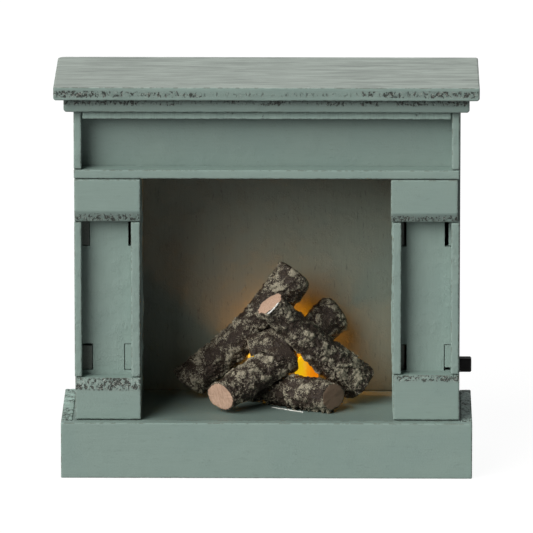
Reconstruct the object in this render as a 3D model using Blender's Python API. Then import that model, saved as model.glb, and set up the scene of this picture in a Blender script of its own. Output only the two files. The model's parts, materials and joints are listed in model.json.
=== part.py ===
"""Miniature fireplace mantel for a dolls' house, with a lamp inside its log pile.

Thin wooden boards, blocks and strips are glued into a hollow surround that stands on a
hollow base.  The base holds a battery box, which opens through the base's back board.
The right-hand column holds a slide switch, and the lamp stands in the hearth behind the
logs.  Metres, +Z up.  The front looks along -Y, and the origin is under the middle of
the shelf, at the height that the base stands on.
"""
from math import cos, pi, radians, sin

import bmesh
import bpy
from mathutils import Vector

# Driving dimensions
GAP = 0.0003            # glue line between two pieces that touch
EDGE = 0.0003           # rounding of a sanded board edge
SHELF_W = 0.1500
TOTAL_H = 0.1422
TOTAL_D = 0.0547
SHELF_T = 0.0048
SHELF_LIP = 0.0027      # how far the shelf stands out past the base
CORNICE_W = 0.1430
CORNICE_T = 0.0046
CORNICE_SET_BACK = 0.0035
BASE_W = 0.1460
BASE_H = 0.0202
BASE_FRONT_T = 0.0034
BASE_SIDE_T = 0.0041
PLY = 0.0028            # hidden boards, back and bottom
SIDE_T = 0.0038
CHEEK_T = 0.0030
PANEL_T = 0.0026
BODY_HALF_W = 0.0681
OPENING_HALF_W = 0.0448
OPENING_TOP = 0.1079

# Depths of the front faces, back from the base's front face
FACE_SET_BACK = 0.0040      # frieze frame, cap blocks and foot blocks
STILE_SET_BACK = 0.0056
PANEL_SET_BACK = 0.0116

# Battery box, cells, switch and lamp
CELL_R = 0.00525
CELL_L = 0.0445
BOX_HALF_W = 0.0525
BOX_D = 0.0148
BOX_WALL = 0.0012
LID_T = 0.0020
SCREW_X = 0.0480
KNOB = 0.0048
SWITCH_TRAVEL = 0.0030
CAP_R = 0.0042
CAP_TALL = 0.0167
CAP_WALL = 0.0008
LAMP_X = 0.0140
LAMP_SET_BACK = 0.0335
LEAD_SPREAD = 0.00127
PIN_PITCH = 0.0035
WIRE_D = 0.0012

BACK = TOTAL_D / 2
FRONT = -TOTAL_D / 2 + SHELF_LIP        # the base's front face
FACE_Y = FRONT + FACE_SET_BACK
STILE_Y = FRONT + STILE_SET_BACK
PANEL_Y = FRONT + PANEL_SET_BACK
STRIP_BACK = PANEL_Y - GAP              # back of every strip and block glued to a panel
PANEL_BACK = PANEL_Y + PANEL_T
INNER_Y = PANEL_BACK + GAP              # front edge of the boards behind the panels
BACK_BOARD_Y = BACK - PLY
BODY_Z = BASE_H + GAP                   # the surround stands here
CORNICE_Z = TOTAL_H - SHELF_T - GAP - CORNICE_T
BODY_TOP = CORNICE_Z - GAP
FRIEZE_Z = OPENING_TOP
BASE_IN = BASE_W / 2 - BASE_SIDE_T - GAP        # half the width inside the base's sides
BASE_IN_Y = FRONT + BASE_FRONT_T + GAP
HEARTH_UNDER = BASE_H - CHEEK_T
LAMP_Y = FRONT + LAMP_SET_BACK
BOX_Y = (BACK - 0.0002 - BOX_D, BACK - 0.0002)
BOX_Z = (PLY + 0.0004, HEARTH_UNDER - GAP)
CELL_Z = (BOX_Z[0] + BOX_Z[1]) / 2
CELL_Y = BOX_Y[0] + BOX_WALL + 0.0004 + CELL_R
WIRE_HOLE = (0.0530, FRONT + 0.0300)

# Colour in linear RGB, roughness, metallic
LOOKS = {
    "painted_wood": ((0.205, 0.275, 0.250), 0.62, 0.0),
    "dark_paint": ((0.085, 0.105, 0.088), 0.70, 0.0),
    "raw_wood": ((0.46, 0.34, 0.21), 0.75, 0.0),
    "bark": ((0.075, 0.062, 0.052), 0.55, 0.0),
    "amber_plastic": ((0.95, 0.48, 0.05), 0.35, 0.0),
    "lamp_lens": ((0.95, 0.70, 0.25), 0.15, 0.0),
    "black_plastic": ((0.012, 0.012, 0.013), 0.42, 0.0),
    "circuit_board": ((0.20, 0.10, 0.035), 0.60, 0.0),
    "steel": ((0.56, 0.56, 0.54), 0.32, 1.0),
    "cell_jacket": ((0.10, 0.11, 0.12), 0.35, 0.6),
    "red_wire": ((0.45, 0.02, 0.015), 0.45, 0.0),
    "black_wire": ((0.015, 0.015, 0.016), 0.45, 0.0),
}


def clear_scene():
    """Remove whatever objects the file holds."""
    for item in list(bpy.data.objects):
        bpy.data.objects.remove(item, do_unlink=True)


def add_material(piece, look):
    """Give a piece a Principled material of its own."""
    colour, roughness, metallic = LOOKS[look]
    material = bpy.data.materials.new(piece.name + "_" + look)
    material.use_nodes = True
    shader = material.node_tree.nodes["Principled BSDF"]
    shader.inputs["Base Color"].default_value = (*colour, 1.0)
    shader.inputs["Roughness"].default_value = roughness
    shader.inputs["Metallic"].default_value = metallic
    piece.data.materials.append(material)


def add_mesh(name, bm, look, place=(0.0, 0.0, 0.0)):
    """Turn a bmesh into a named object with its material."""
    bmesh.ops.recalc_face_normals(bm, faces=bm.faces)
    mesh = bpy.data.meshes.new(name)
    bm.to_mesh(mesh)
    bm.free()
    piece = bpy.data.objects.new(name, mesh)
    piece.location = place
    bpy.context.scene.collection.objects.link(piece)
    add_material(piece, look)
    return piece


def round_edges(piece, width, segments=1):
    """Round every sharp edge a little."""
    bevel = piece.modifiers.new("Rounded edges", "BEVEL")
    bevel.width = width
    bevel.segments = segments
    bevel.limit_method = "ANGLE"


def block_mesh(x, y, z, centre=(0.0, 0.0, 0.0)):
    """A bmesh box between three (low, high) pairs, measured from a centre."""
    bm = bmesh.new()
    bmesh.ops.create_cube(bm, size=1.0)
    bmesh.ops.scale(bm, vec=(x[1] - x[0], y[1] - y[0], z[1] - z[0]), verts=bm.verts)
    middle = Vector(((x[0] + x[1]) / 2, (y[0] + y[1]) / 2, (z[0] + z[1]) / 2))
    bmesh.ops.translate(bm, vec=middle - Vector(centre), verts=bm.verts)
    return bm


def board(name, x, y, z, look, edge=EDGE):
    """A rectangular piece between three (low, high) pairs, with its origin at its middle."""
    centre = ((x[0] + x[1]) / 2, (y[0] + y[1]) / 2, (z[0] + z[1]) / 2)
    piece = add_mesh(name, block_mesh(x, y, z, centre), look, centre)
    if edge:
        round_edges(piece, edge)
    return piece


def combine(piece, tool, operation):
    """Join a tool to a piece or cut it away, and hide the tool."""
    boolean = piece.modifiers.new(operation.title(), "BOOLEAN")
    boolean.operation = operation
    boolean.solver = "EXACT"
    boolean.object = tool
    tool.hide_render = True
    tool.display_type = "WIRE"


def cut_block(piece, x, y, z):
    """Cut a rectangular hole or recess."""
    tool = board(piece.name + "_cutter", x, y, z, "raw_wood", edge=0.0)
    combine(piece, tool, "DIFFERENCE")


def add_block(piece, x, y, z):
    """Add a rectangular tab or boss that is one with the piece."""
    tool = board(piece.name + "_joined", x, y, z, "raw_wood", edge=0.0)
    combine(piece, tool, "UNION")


def cut_round(piece, centre, radius, depth, axis="Z", sides=24):
    """Drill a round hole of a given depth about a centre."""
    bm = bmesh.new()
    bmesh.ops.create_cone(bm, cap_ends=True, segments=sides, radius1=radius,
                          radius2=radius, depth=depth)
    tool = add_mesh(piece.name + "_drill", bm, "raw_wood", centre)
    if axis == "Y":
        tool.rotation_euler = (radians(-90), 0.0, 0.0)
    combine(piece, tool, "DIFFERENCE")


def arc(centre, radius, start, end, steps):
    """Points along an arc, angles in degrees."""
    angles = [radians(start + (end - start) * i / steps) for i in range(steps + 1)]
    return [(centre[0] + radius * cos(a), centre[1] + radius * sin(a)) for a in angles]


def extrude_outline(name, outline, z, look):
    """A plate with a plan outline of (x, y) points between two heights."""
    bm = bmesh.new()
    face = bm.faces.new([bm.verts.new((x, y, z[0])) for x, y in outline])
    grown = bmesh.ops.extrude_face_region(bm, geom=[face])
    top = [item for item in grown["geom"] if isinstance(item, bmesh.types.BMVert)]
    bmesh.ops.translate(bm, vec=(0.0, 0.0, z[1] - z[0]), verts=top)
    return add_mesh(name, bm, look)


def extrude_profile(name, profile, x, look):
    """A moulded block with a side profile of (y, z) points between two X places."""
    bm = bmesh.new()
    face = bm.faces.new([bm.verts.new((x[0], y, z)) for y, z in profile])
    grown = bmesh.ops.extrude_face_region(bm, geom=[face])
    far = [item for item in grown["geom"] if isinstance(item, bmesh.types.BMVert)]
    bmesh.ops.translate(bm, vec=(x[1] - x[0], 0.0, 0.0), verts=far)
    return add_mesh(name, bm, look)


def turned(name, profile, look, place, sides=24, turn=(0.0, 0.0, 0.0)):
    """A closed solid turned about its own Z from (radius, height) points.

    The first and last points lie on the axis.
    """
    bm = bmesh.new()
    verts = [bm.verts.new((radius, 0.0, height)) for radius, height in profile]
    edges = [bm.edges.new(pair) for pair in zip(verts, verts[1:])]
    bmesh.ops.spin(bm, geom=verts + edges, cent=(0.0, 0.0, 0.0), axis=(0.0, 0.0, 1.0),
                   angle=2 * pi, steps=sides, use_merge=True)
    bmesh.ops.remove_doubles(bm, verts=bm.verts, dist=0.000001)
    piece = add_mesh(name, bm, look, place)
    piece.rotation_euler = turn
    piece.data.shade_smooth()
    piece.data.set_sharp_from_angle(angle=radians(40))
    return piece


def smooth_route(points, step=0.0025):
    """Points along a smooth curve through a route's own points."""
    route = [Vector(p) for p in points]
    route = [2 * route[0] - route[1], *route, 2 * route[-1] - route[-2]]
    result = []
    for before, start, end, after in zip(route, route[1:], route[2:], route[3:]):
        count = max(2, round((end - start).length / step))
        for i in range(count):
            t = i / count
            result.append(0.5 * (2 * start + (end - before) * t
                                 + (2 * before - 5 * start + 4 * end - after) * t ** 2
                                 + (3 * start - before - 3 * end + after) * t ** 3))
    result.append(route[-2])
    return result


def tube(name, points, diameter, look, sides_level=2):
    """A round wire along a list of points, as a curve with filled caps."""
    curve = bpy.data.curves.new(name, "CURVE")
    curve.dimensions = "3D"
    curve.bevel_depth = diameter / 2
    curve.bevel_resolution = sides_level
    curve.use_fill_caps = True
    spline = curve.splines.new("POLY")
    spline.points.add(len(points) - 1)
    for spot, point in zip(spline.points, points):
        spot.co = (*point, 1.0)
    piece = bpy.data.objects.new(name, curve)
    bpy.context.scene.collection.objects.link(piece)
    add_material(piece, look)
    return piece


def build_shelf_and_cornice():
    """The mantel shelf, with its worn back corners, and the board under it."""
    half = SHELF_W / 2
    low_y = -TOTAL_D / 2
    outline = []
    corners = ((-half, low_y, 0.0006, 180), (half, low_y, 0.0006, 270),
               (half, BACK, 0.0013, 0), (-half, BACK, 0.0028, 90))
    for x, y, radius, start in corners:
        centre = (x - radius if x > 0 else x + radius, y - radius if y > 0 else y + radius)
        outline += arc(centre, radius, start, start + 90, 3)
    shelf = extrude_outline("shelf_board", outline, (TOTAL_H - SHELF_T, TOTAL_H), "painted_wood")
    round_edges(shelf, EDGE)
    board("cornice_board", (-CORNICE_W / 2, CORNICE_W / 2),
          (low_y + CORNICE_SET_BACK, BACK), (CORNICE_Z, CORNICE_Z + CORNICE_T), "painted_wood", 0.0005)


def build_frieze():
    """The sunk panel under the cornice, and the four strips that frame it."""
    rail_top = FRIEZE_Z + 0.0032
    stile_in = 0.06535
    board("frieze_panel", (-BODY_HALF_W, BODY_HALF_W), (PANEL_Y, PANEL_BACK),
          (FRIEZE_Z, BODY_TOP), "painted_wood", 0.0)
    board("frieze_bottom_rail", (-BODY_HALF_W, BODY_HALF_W), (FACE_Y, STRIP_BACK),
          (FRIEZE_Z, rail_top), "painted_wood")
    board("frieze_top_rail", (GAP - stile_in, stile_in - GAP), (FACE_Y + 0.0007, STRIP_BACK),
          (BODY_TOP - 0.0029, BODY_TOP - 0.0002), "painted_wood")
    for side, x in (("left", (-BODY_HALF_W, -stile_in)), ("right", (stile_in, BODY_HALF_W))):
        board("frieze_" + side + "_stile", x, (FACE_Y, STRIP_BACK),
              (rail_top + GAP, BODY_TOP), "painted_wood")


def moulding(name, x, face, chamfer_end, far_end):
    """A cap or foot block: a flat face, a chamfer back to the stiles, and a flat end."""
    profile = [(FACE_Y, far_end), (FACE_Y, face), (STILE_Y, chamfer_end),
               (STRIP_BACK, chamfer_end), (STRIP_BACK, far_end)]
    block = extrude_profile(name, profile, x, "painted_wood")
    round_edges(block, EDGE)


def build_column(side, cap, foot, stiles, slots):
    """One column's panel, its cap and foot blocks and the two strips between them.

    cap and foot are (x range, face end, chamfer end).  slots are (x range, z range).
    """
    outer = (-BODY_HALF_W, -OPENING_HALF_W) if side == "left" else (OPENING_HALF_W, BODY_HALF_W)
    panel = board(side + "_column_panel", outer, (PANEL_Y, PANEL_BACK),
                  (BODY_Z, OPENING_TOP - GAP), "painted_wood", 0.0)
    for x, z in slots:
        cut_block(panel, x, (PANEL_Y - 0.001, PANEL_BACK + 0.001), z)
    moulding(side + "_cap_block", cap[0], cap[1], cap[2], OPENING_TOP - GAP)
    moulding(side + "_foot_block", foot[0], foot[1], foot[2], BODY_Z)
    for place, x in stiles.items():
        board(side + "_column_" + place + "_strip", x, (STILE_Y, STRIP_BACK),
              (foot[2] + GAP, cap[2] - GAP), "painted_wood")


def tabbed_board(name, x, z_top, back, tabs):
    """A board behind a column panel, whose tabs fill the panel's slots.

    tabs are (x range, z range, how far the tab stops short of the panel's face).
    """
    piece = board(name, x, (INNER_Y, back), (BODY_Z, z_top), "painted_wood", 0.0)
    for tab_x, tab_z, short in tabs:
        add_block(piece, tab_x, (PANEL_Y + short, INNER_Y + 0.003), tab_z)
    return piece


def build_columns():
    """Both columns, with the boards that close their sides and the firebox."""
    build_column("left",
                 cap=((-0.0680, -0.0446), 0.0963, 0.0921),
                 foot=((-0.0679, -0.0446), 0.0314, 0.0353),
                 stiles={"outer": (-0.0681, -0.0655), "inner": (-0.0480, -0.0448)},
                 slots=(((-0.0665, -0.0627), (0.0819, 0.0930)),
                        ((-0.0491, -0.0455), (0.0819, 0.0930)),
                        ((-0.0665, -0.0618), (0.0368, 0.0464)),
                        ((-0.0507, -0.0455), (0.0368, 0.0464))))
    build_column("right",
                 cap=((0.0439, 0.0676), 0.0958, 0.0921),
                 foot=((0.0449, 0.0684), 0.0345, 0.0365),
                 stiles={"inner": (0.0446, 0.0477), "outer": (0.0653, 0.0682)},
                 slots=(((0.0452, 0.0495), (0.0819, 0.0930)),
                        ((0.0630, 0.0665), (0.0819, 0.0930)),
                        ((0.0452, 0.0497), (0.0368, 0.0464)),
                        ((0.0629, 0.0665), (0.0368, 0.0464))))
    left_x = (-BODY_HALF_W, SIDE_T - BODY_HALF_W)
    right_x = (0.0685 - SIDE_T, 0.0685)
    tabbed_board("left_side_board", left_x, BODY_TOP, BACK,
                 (((-0.0662, -0.0630), (0.0822, 0.0927), 0.0001),
                  ((-0.0662, -0.0621), (0.0371, 0.0456), 0.0001)))
    tabbed_board("left_firebox_cheek", (-OPENING_HALF_W - CHEEK_T, -OPENING_HALF_W),
                 OPENING_TOP, BACK_BOARD_Y - GAP,
                 (((-0.0478, -0.0458), (0.0822, 0.0927), 0.0008),
                  ((-0.0504, -0.0458), (0.0371, 0.0461), 0.0001)))
    tabbed_board("right_firebox_cheek", (OPENING_HALF_W, OPENING_HALF_W + CHEEK_T),
                 OPENING_TOP, BACK_BOARD_Y - GAP,
                 (((0.0455, 0.0486), (0.0822, 0.0927), 0.0006),
                  ((0.0455, 0.0488), (0.0371, 0.0461), 0.0006)))
    side = tabbed_board("right_side_board", right_x, BODY_TOP, BACK,
                        (((0.0644, 0.0662), (0.0822, 0.0927), 0.0003),
                         ((0.0632, 0.0662), (0.0380, 0.0461), 0.0001)))
    return side


def build_shell_boards():
    """The firebox's ceiling and the back board of the whole surround."""
    board("firebox_ceiling", (-OPENING_HALF_W - CHEEK_T, OPENING_HALF_W + CHEEK_T),
          (INNER_Y, BACK_BOARD_Y - GAP), (OPENING_TOP + GAP, OPENING_TOP + GAP + PLY), "dark_paint", 0.0)
    board("back_board", (SIDE_T - BODY_HALF_W + GAP, 0.0685 - SIDE_T - GAP),
          (BACK_BOARD_Y, BACK), (BODY_Z, BODY_TOP), "painted_wood")


def build_base():
    """The hollow base: four sides, a bottom, and the hearth that covers it."""
    board("base_front_board", (-BASE_W / 2, BASE_W / 2), (FRONT, FRONT + BASE_FRONT_T),
          (0.0, BASE_H), "painted_wood")
    for side, low in (("left", -BASE_W / 2), ("right", BASE_W / 2 - BASE_SIDE_T)):
        board("base_" + side + "_board", (low, low + BASE_SIDE_T), (BASE_IN_Y, BACK),
              (0.0, BASE_H), "painted_wood")
    back = board("base_back_board", (-BASE_IN, BASE_IN), (BACK_BOARD_Y, BACK),
                 (0.0, BASE_H), "painted_wood")
    cut_block(back, (-BOX_HALF_W - GAP, BOX_HALF_W + GAP), (BACK_BOARD_Y - 0.001, BACK + 0.001),
              (BOX_Z[0] - GAP, BOX_Z[1] + GAP))
    board("base_bottom_board", (-BASE_IN, BASE_IN), (BASE_IN_Y, BACK_BOARD_Y - GAP),
          (0.0, PLY), "raw_wood")
    hearth = board("hearth_board", (-BASE_IN, BASE_IN), (BASE_IN_Y, BACK_BOARD_Y - GAP),
                   (HEARTH_UNDER, BASE_H), "painted_wood")
    middle = (HEARTH_UNDER + BASE_H) / 2
    cut_round(hearth, (LAMP_X, LAMP_Y, middle), 0.0032, 0.008)
    cut_round(hearth, (*WIRE_HOLE, middle), 0.0030, 0.008)


def log_shape(name, start, end, radii, grow=0.0):
    """A log between the centres of its cut ends, with its radii at even steps along it."""
    along = Vector(end) - Vector(start)
    steps = len(radii) - 1
    heights = [along.length * i / steps for i in range(steps + 1)]
    heights[0] -= grow
    heights[-1] += grow
    rings = [(radius + grow, height) for radius, height in zip(radii, heights)]
    profile = [(0.0, heights[0]), *rings, (0.0, heights[-1])]
    turn = along.to_track_quat("Z", "Y").to_euler()
    return turned(name, profile, "bark", start, sides=18, turn=turn)


def build_logs():
    """Six resin logs, leaning together over the lamp, the hidden ones cut to fit the others."""
    logs = {
        "log_front_left": ((-0.0166, -0.0111, 0.0265), (0.0056, 0.0034, 0.0392),
                           (0.0056, 0.0061, 0.0062)),
        "log_front_right": ((-0.0066, 0.0096, 0.0260), (0.0236, -0.0096, 0.0265),
                            (0.0048, 0.0047, 0.0051, 0.0057, 0.0055)),
        "log_top_right": ((0.0011, -0.0061, 0.0594), (0.0339, 0.0064, 0.0269),
                          (0.0050, 0.0055, 0.0061, 0.0068, 0.0072)),
        "log_back_left": ((-0.0286, 0.0145, 0.0254), (0.0091, 0.0064, 0.0682),
                          (0.0069, 0.0064, 0.0063, 0.0069)),
        "log_back_right": ((0.0159, 0.0164, 0.0432), (0.0259, 0.0164, 0.0525), (0.0067, 0.0070, 0.0069)),
        "log_middle": ((-0.0010, 0.0060, 0.0335), (0.0046, 0.0060, 0.0450), (0.0080, 0.0083, 0.0076)),
    }
    fits = {
        "log_front_right": ("log_front_left",),
        "log_top_right": ("log_front_left",),
        "log_middle": ("log_front_left", "log_front_right", "log_top_right", "log_back_left"),
        "log_back_left": ("log_front_left", "log_top_right"),
        "log_back_right": ("log_top_right", "log_back_left"),
    }
    solids = {name: log_shape(name, *shape) for name, shape in logs.items()}
    for name, neighbours in fits.items():
        for neighbour in neighbours:
            room = log_shape(name + "_room_for_" + neighbour, *logs[neighbour], grow=GAP)
            combine(solids[name], room, "DIFFERENCE")
    room_top = BODY_Z + CAP_TALL + GAP
    room_r = CAP_R + GAP
    around_cap = turned("log_middle_cap_room", [(0.0, BODY_Z - GAP), (room_r, BODY_Z - GAP),
                                                (room_r, room_top), (0.0, room_top)],
                        "bark", (LAMP_X, LAMP_Y, 0.0), sides=20)
    combine(solids["log_middle"], around_cap, "DIFFERENCE")


def build_lamp():
    """The lamp in the hearth's hole, its two leads, and the glowing cap over it."""
    base_z = HEARTH_UNDER + 0.0004
    body_r = 0.0025
    shoulder = 0.0062
    dome = [(body_r * cos(radians(a)), shoulder + body_r * sin(radians(a))) for a in (15, 35, 55, 75)]
    profile = [(0.0, 0.0), (0.0029, 0.0), (0.0029, 0.0010), (body_r, 0.0010), (body_r, shoulder),
               *dome, (0.0, shoulder + body_r)]
    turned("lamp", profile, "lamp_lens", (LAMP_X, LAMP_Y, base_z), sides=20)
    for side, x in (("left", LAMP_X - LEAD_SPREAD), ("right", LAMP_X + LEAD_SPREAD)):
        board("lamp_" + side + "_lead", (x - 0.00025, x + 0.00025), (LAMP_Y - 0.00025, LAMP_Y + 0.00025),
              (base_z - 0.0053, base_z - GAP), "steel", 0.0)
    outer_r = CAP_R
    inner_r = CAP_R - CAP_WALL
    waist = CAP_TALL - CAP_R
    angles = (0, 20, 40, 60, 75)
    inside = [(inner_r * cos(radians(a)), waist + inner_r * sin(radians(a))) for a in reversed(angles)]
    outside = [(outer_r * cos(radians(a)), waist + outer_r * sin(radians(a))) for a in angles]
    profile = [(0.0, waist + inner_r), *inside, (inner_r, 0.0), (outer_r, 0.0), *outside,
               (0.0, waist + outer_r)]
    turned("glow_cap", profile, "amber_plastic", (LAMP_X, LAMP_Y, BODY_Z), sides=20)


def build_switch(side_board):
    """A slide switch behind the right side board, with its knob out through a window."""
    knob_y = FRONT + 0.0300
    knob_z = 0.0348
    half = KNOB / 2
    window_y = (knob_y - half - 0.0004, knob_y + half + SWITCH_TRAVEL + 0.0004)
    window_z = (knob_z - half - 0.0004, knob_z + half + 0.0004)
    cut_block(side_board, (0.0640, 0.0690), window_y, window_z)

    shell_y = (window_y[0] - 0.0037, window_y[1] + 0.0037)
    shell_z = (knob_z - 0.0040, knob_z + 0.0040)
    wall = 0.0006
    shell = board("switch_shell", (0.0595, 0.0644), shell_y, shell_z, "steel", 0.0)
    cut_block(shell, (0.0585, 0.0644 - wall), (shell_y[0] + wall, shell_y[1] - wall),
              (shell_z[0] + wall, shell_z[1] - wall))
    cut_block(shell, (0.0630, 0.0650), window_y, window_z)
    board("switch_contact_board", (0.0584, 0.0592), (shell_y[0] + wall, shell_y[1] - wall),
          (shell_z[0] + wall, shell_z[1] - wall), "circuit_board", 0.0)

    slider = board("switch_slider", (0.0598, 0.0634), (knob_y - 0.0034, knob_y + 0.0034),
                   (knob_z - 0.0030, knob_z + 0.0030), "black_plastic", 0.0)
    knob = board("switch_slider_knob", (0.0630, 0.0729), (knob_y - half, knob_y + half),
                 (knob_z - half, knob_z + half), "black_plastic", 0.0004)
    combine(slider, knob, "UNION")

    middle = knob_y + SWITCH_TRAVEL / 2
    for name, y in (("front", middle - PIN_PITCH), ("middle", middle), ("rear", middle + PIN_PITCH)):
        board("switch_" + name + "_pin", (0.0550, 0.0581), (y - 0.0004, y + 0.0004),
              (knob_z - 0.0002, knob_z + 0.0002), "steel", 0.0)


def build_battery_box():
    """The box let into the base's back board, its lid and the lid's captive screw."""
    inner_x = BOX_HALF_W - BOX_WALL
    inner_z = (BOX_Z[0] + BOX_WALL, BOX_Z[1] - BOX_WALL)
    lid_y = (BOX_Y[1] - LID_T, BOX_Y[1])
    bay_end = 0.0444
    box = board("battery_box", (-BOX_HALF_W, BOX_HALF_W), BOX_Y, BOX_Z, "black_plastic", 0.0)
    cut_block(box, (-inner_x, inner_x), (lid_y[0] - GAP, BOX_Y[1] + 0.001), inner_z)
    cut_block(box, (-inner_x, bay_end), (BOX_Y[0] + BOX_WALL, lid_y[0]), inner_z)
    for x in (-0.0507, 0.0438):
        cut_block(box, (x - 0.0006, x + 0.0006), (BOX_Y[0] - 0.001, BOX_Y[0] + 0.002),
                  (CELL_Z - 0.0029, CELL_Z + 0.0029))
    cut_round(box, (SCREW_X, lid_y[0] - 0.0030, CELL_Z), 0.0012, 0.0075, "Y", 20)

    lid = board("battery_lid", (GAP - inner_x, inner_x - GAP), lid_y,
                (inner_z[0] + GAP, inner_z[1] - GAP), "black_plastic", 0.0002)
    cut_round(lid, (SCREW_X, BOX_Y[1], CELL_Z), 0.0022, 0.0026, "Y", 24)
    cut_round(lid, (SCREW_X, BOX_Y[1], CELL_Z), 0.0012, 0.0100, "Y", 20)
    for i in range(5):
        x = -0.0455 + 0.0016 * i
        cut_block(lid, (x - 0.0004, x + 0.0004), (BOX_Y[1] - 0.0005, BOX_Y[1] + 0.001),
                  (CELL_Z - 0.0038, CELL_Z + 0.0038))

    screw = turned("battery_screw",
                   [(0.0, -0.0070), (0.0005, -0.0070), (0.0009, -0.0062), (0.0009, 0.0),
                    (0.0019, 0.0), (0.0019, 0.0006), (0.0015, 0.0009), (0.0, 0.0009)],
                   "steel", (SCREW_X, BOX_Y[1] - 0.0010, CELL_Z), 20, (radians(-90), 0.0, 0.0))
    for x, z in ((0.0013, 0.0003), (0.0003, 0.0013)):
        cut_block(screw, (SCREW_X - x, SCREW_X + x), (BOX_Y[1] - 0.0006, BOX_Y[1] + 0.001),
                  (CELL_Z - z, CELL_Z + z))


def build_cells():
    """Two cells end to end, the spring and the two contact plates."""
    profile = [(0.0, 0.0), (CELL_R - 0.0004, 0.0), (CELL_R, 0.0004), (CELL_R, CELL_L - 0.0014),
               (CELL_R - 0.0004, CELL_L - 0.0010), (0.0019, CELL_L - 0.0010), (0.0019, CELL_L),
               (0.0, CELL_L)]
    start = -0.0461
    for name, x in (("battery_cell_left", start), ("battery_cell_right", start + CELL_L + GAP)):
        turned(name, profile, "cell_jacket", (x, CELL_Y, CELL_Z), 24, (0.0, radians(90), 0.0))
    for name, x in (("negative_contact", (-0.0509, -0.0505)), ("positive_contact", (0.0436, 0.0440))):
        tail = BOX_Y[0] - 0.0018
        plate = BOX_Y[0] + BOX_WALL + 0.0004
        profile = [(tail, CELL_Z - 0.0025), (plate, CELL_Z - 0.0025), (plate, CELL_Z - 0.0050),
                   (plate + 0.0100, CELL_Z - 0.0050), (plate + 0.0100, CELL_Z + 0.0050),
                   (plate, CELL_Z + 0.0050), (plate, CELL_Z + 0.0025), (tail, CELL_Z + 0.0025)]
        extrude_profile(name, profile, x, "steel")
    turns = 4
    per_turn = 10
    wire = 0.0005
    length = 0.0033
    helix = []
    for i in range(turns * per_turn + 1):
        share = i / (turns * per_turn)
        radius = 0.0042 - 0.0014 * share
        angle = 2 * pi * i / per_turn
        helix.append((-0.0499 + length * share, CELL_Y + radius * cos(angle), CELL_Z + radius * sin(angle)))
    tube("battery_spring", helix, wire, "steel", sides_level=1)


def build_wires():
    """The three leads: cell to switch, switch to lamp, and lamp back to the cells."""
    def place(x, set_back, z):
        return (x / 1000, FRONT + set_back / 1000, z / 1000)

    tube("wire_cells_to_switch", smooth_route([
        place(43.8, 34.6, 10.0), place(43.8, 31.5, 10.2), place(48.0, 28.8, 10.6), place(51.6, 28.6, 13.0),
        place(53.0, 28.6, 20.0), place(51.6, 28.3, 29.0), place(52.2, 28.0, 34.0), place(54.7, 28.0, 34.8)]),
        WIRE_D, "red_wire")
    tube("wire_switch_to_lamp", smooth_route([
        place(54.7, 31.5, 34.8), place(52.2, 31.5, 34.0), place(51.6, 31.6, 29.0), place(53.0, 31.4, 20.0),
        place(51.4, 31.6, 12.5), place(46.5, 32.4, 6.6), place(38.0, 32.4, 5.2), place(24.0, 32.4, 5.4),
        place(16.6, 33.2, 7.4), place(15.27, 33.5, 11.8)]),
        WIRE_D, "red_wire")
    tube("wire_lamp_to_cells", smooth_route([
        place(12.73, 33.5, 11.8), place(12.0, 33.3, 8.2), place(4.0, 32.6, 6.0),
        place(-18.0, 32.0, 5.6), place(-40.0, 31.4, 7.0), place(-48.8, 31.2, 9.4),
        place(-50.7, 32.8, 10.0), place(-50.7, 34.6, 10.0)]),
        WIRE_D, "black_wire")


def main():
    clear_scene()
    build_shelf_and_cornice()
    build_frieze()
    side_board = build_columns()
    build_shell_boards()
    build_base()
    build_logs()
    build_lamp()
    build_switch(side_board)
    build_battery_box()
    build_cells()
    build_wires()


main()
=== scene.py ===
"""Looks of the miniature fireplace mantel: worn painted boards, bark-textured logs and lamp glow."""
import json
import math

import bmesh
import bpy
import numpy as np
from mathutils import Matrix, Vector


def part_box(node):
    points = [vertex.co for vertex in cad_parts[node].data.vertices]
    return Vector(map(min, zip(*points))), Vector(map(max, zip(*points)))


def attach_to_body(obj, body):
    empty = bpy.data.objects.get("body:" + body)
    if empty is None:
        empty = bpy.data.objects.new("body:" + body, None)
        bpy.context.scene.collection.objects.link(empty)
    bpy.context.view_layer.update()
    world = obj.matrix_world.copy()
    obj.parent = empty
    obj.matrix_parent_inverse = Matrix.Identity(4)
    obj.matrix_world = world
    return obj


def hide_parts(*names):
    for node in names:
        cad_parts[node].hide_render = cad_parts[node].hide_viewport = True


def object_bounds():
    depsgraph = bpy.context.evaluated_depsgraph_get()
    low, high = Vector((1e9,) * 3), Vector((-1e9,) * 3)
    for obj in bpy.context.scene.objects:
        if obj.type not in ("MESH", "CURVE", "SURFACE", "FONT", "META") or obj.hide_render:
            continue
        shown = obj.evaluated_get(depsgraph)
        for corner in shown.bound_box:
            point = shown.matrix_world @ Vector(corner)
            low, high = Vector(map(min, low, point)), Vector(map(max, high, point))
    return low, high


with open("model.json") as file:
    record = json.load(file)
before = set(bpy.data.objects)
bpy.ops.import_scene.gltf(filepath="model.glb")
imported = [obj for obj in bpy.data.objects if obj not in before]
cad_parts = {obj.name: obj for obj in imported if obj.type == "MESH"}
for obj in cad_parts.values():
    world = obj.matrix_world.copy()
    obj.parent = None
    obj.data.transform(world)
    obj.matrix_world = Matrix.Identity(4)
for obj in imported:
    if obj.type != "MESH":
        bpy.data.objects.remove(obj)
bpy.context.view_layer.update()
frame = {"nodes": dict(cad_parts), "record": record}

MM = 0.001
NODES = frame["nodes"]
ROOT = next(name for name, members in frame["record"]["behaviour"]["bodies"].items()
            if "shelf_board" in members)

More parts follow.
